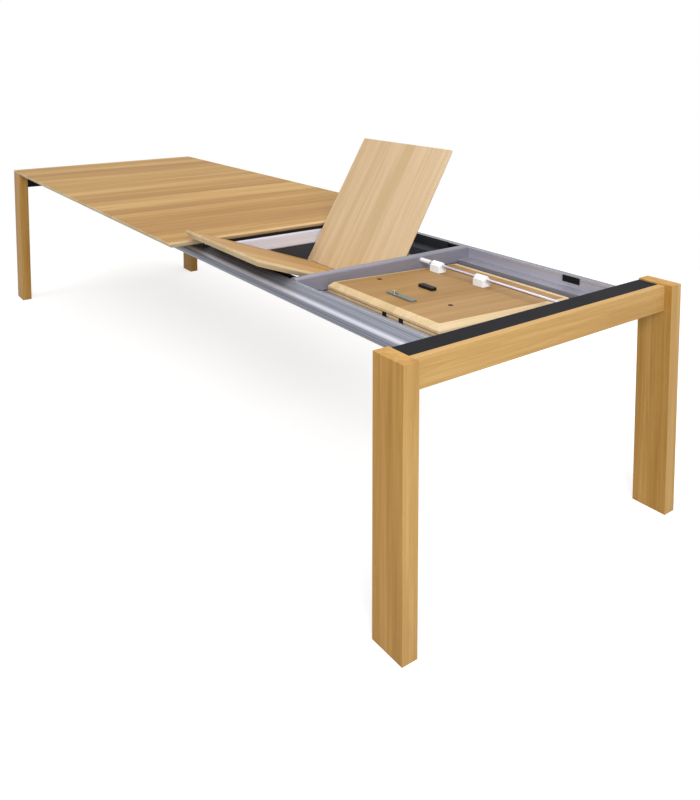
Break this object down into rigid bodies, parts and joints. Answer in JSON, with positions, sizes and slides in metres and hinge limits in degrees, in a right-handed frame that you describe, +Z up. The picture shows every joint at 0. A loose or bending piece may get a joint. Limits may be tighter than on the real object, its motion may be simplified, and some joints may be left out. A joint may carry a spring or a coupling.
{
  "type": "draw leaf table",
  "caption": "Oak table whose near legs draw out on an aluminium frame, with two leaves that fold on rods and stow between the beams.",
  "frame": {"origin": "on the floor under the middle of the drawn-out table", "axes": "+X along the table toward the drawn-out end, +Z up"},
  "size_m": [3.56, 1.1, 1.0745],
  "materials": {
    "oak_top": "lacquered oak veneer, grain across the table",
    "oak_leaf": "lacquered oak veneer on both faces",
    "oak_lipping": "solid oak lipping, lacquered",
    "oak_leg": "solid oak, lacquered",
    "oak_rail": "solid oak, lacquered",
    "anodised_beam": "extruded and anodised, fine lengthwise grooves",
    "brushed_member": "brushed and anodised",
    "black_beam": "black powder coat",
    "steel_rod": "ground and polished",
    "white_block": "moulded acetal",
    "bush_plastic": "moulded acetal",
    "black_plastic": "moulded nylon",
    "shoe_plastic": "moulded nylon",
    "track_aluminium": "mill finish extrusion",
    "grey_latch": "pressed and painted grey",
    "bright_knob": "turned and nickel plated",
    "hinge_steel": "rolled steel",
    "screw_steel": "zinc plated"
  },
  "bodies": {
    "main_part": {"main_top_panel": "oak_top", "main_top_lipping": "oak_lipping", "far_leg_left": "oak_leg", "far_leg_right": "oak_leg", "far_rail": "oak_rail", "far_cross_beam": "black_beam", "guide_track_left": "track_aluminium", "guide_track_right": "track_aluminium", "track_screws": "screw_steel"},
    "near_frame": {"near_leg_left": "oak_leg", "near_leg_right": "oak_leg", "near_rail": "oak_rail", "near_cross_beam": "black_beam", "side_beam_left": "anodised_beam", "side_beam_right": "anodised_beam", "beam_end_caps": "black_plastic", "cross_member_far": "brushed_member", "cross_member_middle": "brushed_member", "glide_pads": "black_plastic", "leaf_one_rod": "steel_rod", "leaf_two_rod": "steel_rod", "rod_stop_sleeve": "white_block", "slide_shoes_left": "shoe_plastic", "slide_shoes_right": "shoe_plastic", "beam_wall_clips": "black_plastic"},
    "leaf_one_carrier": {"leaf_one_bushes": "bush_plastic"},
    "leaf_one_right_half": {"leaf_one_right_panel": "oak_leaf", "leaf_one_right_lipping": "oak_lipping", "leaf_one_right_hinges": "hinge_steel", "leaf_one_bearing_blocks": "white_block", "leaf_one_latch_cover": "grey_latch", "leaf_one_clip": "black_plastic"},
    "leaf_one_bolt": {"leaf_one_latch_bolt": "bright_knob"},
    "leaf_one_left_half": {"leaf_one_left_panel": "oak_leaf", "leaf_one_left_lipping": "oak_lipping", "leaf_one_left_hinges": "hinge_steel"},
    "leaf_two_carrier": {"leaf_two_bushes": "bush_plastic"},
    "leaf_two_upper_half": {"leaf_two_upper_panel": "oak_leaf", "leaf_two_upper_lipping": "oak_lipping", "leaf_two_upper_hinges": "hinge_steel", "leaf_two_bearing_blocks": "white_block", "leaf_two_latch_cover": "grey_latch", "leaf_two_clip": "black_plastic"},
    "leaf_two_bolt": {"leaf_two_latch_bolt": "bright_knob"},
    "leaf_two_lower_half": {"leaf_two_lower_panel": "oak_leaf", "leaf_two_lower_lipping": "oak_lipping", "leaf_two_lower_hinges": "hinge_steel", "leaf_two_edge_catches": "black_plastic"}
  },
  "joints": [
    {"name": "frame_slide", "type": "slide", "parent": "main_part", "child": "near_frame", "axis": [-1, 0, 0], "range_m": [0, 0.006]},
    {"name": "leaf_one_slide", "type": "slide", "parent": "near_frame", "child": "leaf_one_carrier", "axis": [1, 0, 0], "range_m": [0, 0.004]},
    {"name": "leaf_one_swing", "type": "hinge", "parent": "leaf_one_carrier", "child": "leaf_one_right_half", "pos_m": [0.483, 0.144, 0.704], "axis": [1, 0, 0], "range_deg": [-58.8, 75]},
    {"name": "leaf_one_fold", "type": "hinge", "parent": "leaf_one_right_half", "child": "leaf_one_left_half", "pos_m": [0.483, 0.02937, 0.60507], "axis": [1, 0, 0], "range_deg": [-101, 80]},
    {"name": "leaf_one_bolt_slide", "type": "slide", "parent": "leaf_one_right_half", "child": "leaf_one_bolt", "axis": [1, 0, 0], "range_m": [0, 0.015]},
    {"name": "leaf_two_slide", "type": "slide", "parent": "near_frame", "child": "leaf_two_carrier", "axis": [1, 0, 0], "range_m": [-0.012, 0.081]},
    {"name": "leaf_two_swing", "type": "hinge", "parent": "leaf_two_carrier", "child": "leaf_two_upper_half", "pos_m": [1.057, 0.144, 0.704], "axis": [1, 0, 0], "range_deg": [-42, 1.9]},
    {"name": "leaf_two_fold", "type": "hinge", "parent": "leaf_two_upper_half", "child": "leaf_two_lower_half", "pos_m": [1.057, 0.28582, 0.65096], "axis": [1, 0, 0], "range_deg": [0, 90]},
    {"name": "leaf_two_bolt_slide", "type": "slide", "parent": "leaf_two_upper_half", "child": "leaf_two_bolt", "axis": [1, 0, 0], "range_m": [0, 0.015]}
  ],
  "couplings": [
    {"joint": "leaf_one_fold", "follows": "leaf_one_swing", "ratio": -1.3406}
  ]
}
